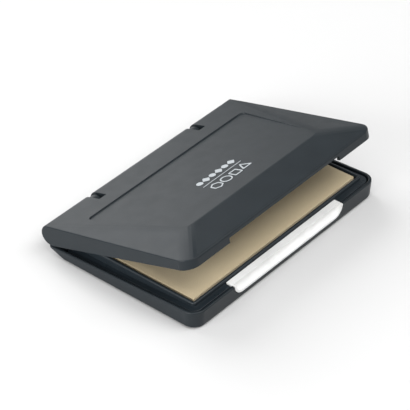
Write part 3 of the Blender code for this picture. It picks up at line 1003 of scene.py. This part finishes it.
def build_liner(mat):
    """The plate inside the lid, with a rib along its edge, a sunk field and six low studs."""
    half, front, back = LINER_HALF, LINER_FRONT, LINER_BACK
    low, top = LINER_LOW, LINER_LOW + LINER_PLATE + LINER_RIB
    field = 3.4 * MM
    rows = [(field + 0.35 * MM, low + 0.3 * MM), (field + 0.1 * MM, low + 0.25 * MM)]
    rows += [(field, low + 0.15 * MM), (field - 0.15 * MM, low)]
    rows += arc((0.3 * MM, low + 0.3 * MM), 0.3 * MM, 270, 180, 4)
    rows += arc((0.2 * MM, top - 0.2 * MM), 0.2 * MM, 180, 90, 3)
    rows += arc((0.8 * MM, top - 0.2 * MM), 0.2 * MM, 90, 0, 3)
    rows.append((1.0 * MM, low + LINER_PLATE))
    liner = to_object("lid_lining", stack(rows, half, front, back, 2.0 * MM))
    for x in (-30.0 * MM, 0.0, 30.0 * MM):
        for y in (front + 9 * MM, back - 9 * MM):
            stud = turned([
                (0.0, low - 0.15 * MM), (1.1 * MM, low - 0.15 * MM), (1.4 * MM, low - 0.05 * MM),
                (1.5 * MM, low + 0.45 * MM), (0.0, low + 0.45 * MM),
            ], 32)
            bmesh.ops.translate(stud, verts=stud.verts, vec=(x, y, 0.25 * MM))
            add(liner, stud)
    on_lid(liner)
    shade(liner)
    place(liner, "lid", "liner_plastic", mat, "lid_liner")


def build_pins(mat):
    edge = 0.15 * MM
    for node in ("hinge_pin_left", "hinge_pin_right"):
        low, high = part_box(node)
        centre, half = (low + high) / 2, (high.x - low.x) / 2
        profile = [(0.0, -half), (PIN_RADIUS - edge, -half), (PIN_RADIUS, edge - half)]
        pin = to_object(node.replace("hinge_pin", "axle"), turned(
            profile + [(radius, -z) for radius, z in reversed(profile)]
        ))
        pin.data.transform(Matrix.Translation(centre) @ Matrix.Rotation(math.pi / 2, 4, "Y"))
        shade(pin)
        place(pin, "base", "pin_steel", mat, node)


def build_feet(mat):
    for index, (low, high) in enumerate(foot_boxes(), start=1):
        centre, radius, top = (low + high) / 2, (high.x - low.x) / 2, high.z
        profile = [(0.0, 0.06 * MM), (radius - 1.1 * MM, 0.06 * MM), (radius - 0.8 * MM, 0.0)]
        profile += arc((radius - 0.22 * MM, 0.22 * MM), 0.22 * MM, 270, 360, 4)
        profile += arc((radius - 0.1 * MM, top - 0.1 * MM), 0.1 * MM, 0, 90, 2) + [(0.0, top)]
        foot = to_object(f"foot_pad_{index}", turned(profile))
        foot.data.transform(Matrix.Translation((centre.x, centre.y, 0.0)))
        shade(foot)
        place(foot, "base", "foot_rubber", mat, f"rubber_foot_{index}")


def panel_floor(y):
    return roof_z(y) - PANEL_DEPTH * (y - PANEL_FRONT) / (PANEL_BACK - PANEL_FRONT)


def polygon(x, y, radius, sides, turn=90.0):
    """Regular polygon, with its corners slightly rounded when it has few of them."""
    corners = [Vector(point) for point in arc((x, y), radius, turn, turn + 360 - 360 / sides, sides - 1)]
    if sides > 8:
        return [tuple(corner) for corner in corners]
    points = []
    for i, corner in enumerate(corners):
        back, ahead = corners[i - 1], corners[(i + 1) % sides]
        points += curve(corner.lerp(back, 0.12), corner, corner.lerp(ahead, 0.12), 2)
    return points


def raised(outlines, thickness):
    """Low shapes printed on the panel: a filled outline, or a band between an outer and an inner one."""
    bm = bmesh.new()
    for outer, inner in outlines:
        loops = [
            [bm.verts.new((x, y, panel_floor(y) + lift)) for x, y in line]
            for line, lift in (
                (outer, 0.01 * MM), (outer, thickness), (inner, thickness), (inner, 0.01 * MM)
            ) if line
        ]
        count = len(outer)
        pairs = list(zip(loops, loops[1:])) + ([(loops[-1], loops[0])] if inner else [])
        for low, high in pairs:
            for i in range(count):
                j = (i + 1) % count
                bm.faces.new((low[i], low[j], high[j], high[i]))
        if not inner:
            bm.faces.new(list(reversed(loops[0])))
            bm.faces.new(loops[-1])
    bmesh.ops.recalc_face_normals(bm, faces=bm.faces)
    return bm


def build_mark(mat):
    """A plain ornament in the mark's place: filled dots and lozenges, a rule, and four open shapes."""
    shapes = []
    for i in range(6):
        x = MARK_LEFT + 1.7 * MM + i * (MARK_RIGHT - MARK_LEFT - 3.4 * MM) / 5
        if i % 2:
            shapes.append((polygon(x, MARK_FIRST_Y, 1.75 * MM, 4), None))
        else:
            shapes.append((polygon(x, MARK_FIRST_Y, 1.3 * MM, 32), None))
    rule = [(MARK_RIGHT, MARK_RULE_Y - 0.13 * MM), (MARK_RIGHT, MARK_RULE_Y + 0.13 * MM)]
    shapes.append((rule + [(MARK_LEFT, y) for _, y in reversed(rule)], None))
    for i, (sides, radius, turn) in enumerate((
        (6, 2.5 * MM, 90.0), (40, 2.3 * MM, 90.0), (4, 2.8 * MM, 45.0), (3, 2.9 * MM, 90.0),
    )):
        x = MARK_LEFT + 2.6 * MM + i * (MARK_RIGHT - MARK_LEFT - 5.2 * MM) / 3
        stroke = 0.5 * MM / math.cos(math.pi / sides)
        shapes.append((
            polygon(x, MARK_SECOND_Y, radius, sides, turn),
            polygon(x, MARK_SECOND_Y, radius - stroke, sides, turn),
        ))
    mark = to_object("lid_mark", raised(shapes, 0.12 * MM))
    on_lid(mark)
    shade(mark)
    place(mark, "lid", "mark_print", mat, "lid_emblem")


# --- Pad ---


def swell(obj, cap):
    """Blows the closed mesh up as cloth, then lets no point move farther than cap."""
    before = [vertex.co.copy() for vertex in obj.data.vertices]
    cloth = obj.modifiers.new("swell", "CLOTH")
    cloth.settings.quality = 6
    cloth.settings.mass = 0.004
    cloth.settings.use_pressure = True
    cloth.settings.uniform_pressure_force = 4.0
    cloth.settings.effector_weights.gravity = 0.0
    cloth.point_cache.frame_start = 1
    cloth.point_cache.frame_end = SWELL_FRAMES
    scene = bpy.context.scene
    for frame_number in range(1, SWELL_FRAMES + 1):
        scene.frame_set(frame_number)
    settle(obj)
    scene.frame_set(1)
    for vertex, start in zip(obj.data.vertices, before):
        move = vertex.co - start
        if move.length > cap:
            vertex.co = start + move * (cap / move.length)


def build_cover(mat):
    """The pad's woven cover, blown up over the felt and held by the holder's floor and walls."""
    spread = Vector((COVER_SPREAD, COVER_SPREAD, 0.0))
    low, high = PAD_LOW - spread, PAD_HIGH + spread
    start = Vector((COVER_SWELL, COVER_SWELL, 0.0))
    low_in, high_in = low + start, high - start - Vector((0.0, 0.0, COVER_SWELL))
    bm = rounded_block(low_in, high_in, COVER_ROUND, 1)
    for axis, normal in enumerate(((1.0, 0.0, 0.0), (0.0, 1.0, 0.0), (0.0, 0.0, 1.0))):
        span = high_in[axis] - low_in[axis] - 4 * COVER_ROUND
        count = round(span / COVER_GRID)
        for i in range(count + 1):
            point = [0.0, 0.0, 0.0]
            point[axis] = low_in[axis] + 2 * COVER_ROUND + span * i / count
            bmesh.ops.bisect_plane(
                bm, geom=bm.verts[:] + bm.edges[:] + bm.faces[:], dist=1e-7, plane_co=point, plane_no=normal
            )
    cover = to_object("pad_cushion", bm)
    swell(cover, COVER_SWELL)
    for vertex in cover.data.vertices:
        vertex.co = [min(max(value, least), most) for value, least, most in zip(vertex.co, low, high)]
    smooth = cover.modifiers.new("smooth", "SUBSURF")
    smooth.levels = 1
    smooth.render_levels = 1
    settle(cover)
    cover.data.shade_smooth()
    place(cover, "base", "cover_cloth", mat, "pad_cover")


def build_felt(mat):
    """The felt block under the cover, with soft edges."""
    low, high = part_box("felt_core")
    felt = to_object("felt_block", rounded_block(low, high, 0.4 * MM, 2))
    shade(felt)
    place(felt, "base", "felt", mat, "felt_core")


def build_pieces():
    case = moulded("case_plastic", CASE_COLOR, 0.38, specular=0.25)
    insert = moulded("insert_plastic", INSERT_COLOR, 0.30, specular=0.35)

    build_tray(case)
    build_frame(insert)
    build_felt(pressed_felt("felt", FELT_COLOR))
    build_cover(woven("cover_cloth", COVER_COLOR, scaled(COVER_COLOR, 0.95), 0.42 * MM))
    build_strip(moulded("strip_plastic", STRIP_COLOR, 0.32, grain=0.15))
    build_pins(turned_steel("pin_steel"))
    build_feet(rubber("foot_rubber", FOOT_COLOR))
    build_lid(case)
    build_liner(moulded("liner_plastic", LINER_COLOR, 0.45, specular=0.35))
    build_mark(printed("mark_print", MARK_COLOR))


def build_stage():
    floor_mat = Nodes("floor", FLOOR_COLOR, 0.9, specular=0.1).mat
    bm = bmesh.new()
    bmesh.ops.create_grid(bm, x_segments=1, y_segments=1, size=3.0)
    floor = to_object("floor", bm)
    floor.data.materials.append(floor_mat)

    world = bpy.data.worlds.new("studio")
    world.use_nodes = True
    world.node_tree.nodes["Background"].inputs["Color"].default_value = (1.0, 1.0, 1.0, 1.0)
    world.node_tree.nodes["Background"].inputs["Strength"].default_value = AMBIENT
    bpy.context.scene.world = world
    bpy.context.scene.view_settings.view_transform = "Standard"
    for name, azimuth, elevation, power in SOFTBOXES:
        build_softbox(name, math.radians(azimuth), math.radians(elevation), power)


def toward(azimuth, elevation):
    """Unit vector to a place seen at an azimuth, from the front round by the right, and an elevation."""
    return Vector((
        math.sin(azimuth) * math.cos(elevation),
        -math.cos(azimuth) * math.cos(elevation),
        math.sin(elevation),
    ))


def build_softbox(name, azimuth, elevation, power):
    data = bpy.data.lights.new(name, "AREA")
    data.shape = "SQUARE"
    data.size = SOFTBOX_SIZE
    data.energy = power
    light = bpy.data.objects.new(name, data)
    away = toward(azimuth, elevation)
    light.location = away * SOFTBOX_DISTANCE
    light.rotation_mode = "QUATERNION"
    light.rotation_quaternion = (-away).to_track_quat("-Z", "Y")
    bpy.context.scene.collection.objects.link(light)


def build_camera():
    back = toward(CAMERA_AZIMUTH, CAMERA_ELEVATION)
    data = bpy.data.cameras.new("camera")
    data.lens = CAMERA_LENS
    data.clip_start = 0.01
    data.clip_end = 20.0
    camera = bpy.data.objects.new("camera", data)
    camera.location = CAMERA_TARGET + back * CAMERA_DISTANCE
    camera.rotation_mode = "QUATERNION"
    camera.rotation_quaternion = (-back).to_track_quat("-Z", "Y")
    bpy.context.scene.collection.objects.link(camera)
    bpy.context.scene.camera = camera


build_pieces()
build_stage()
build_camera()
bpy.context.view_layer.update()
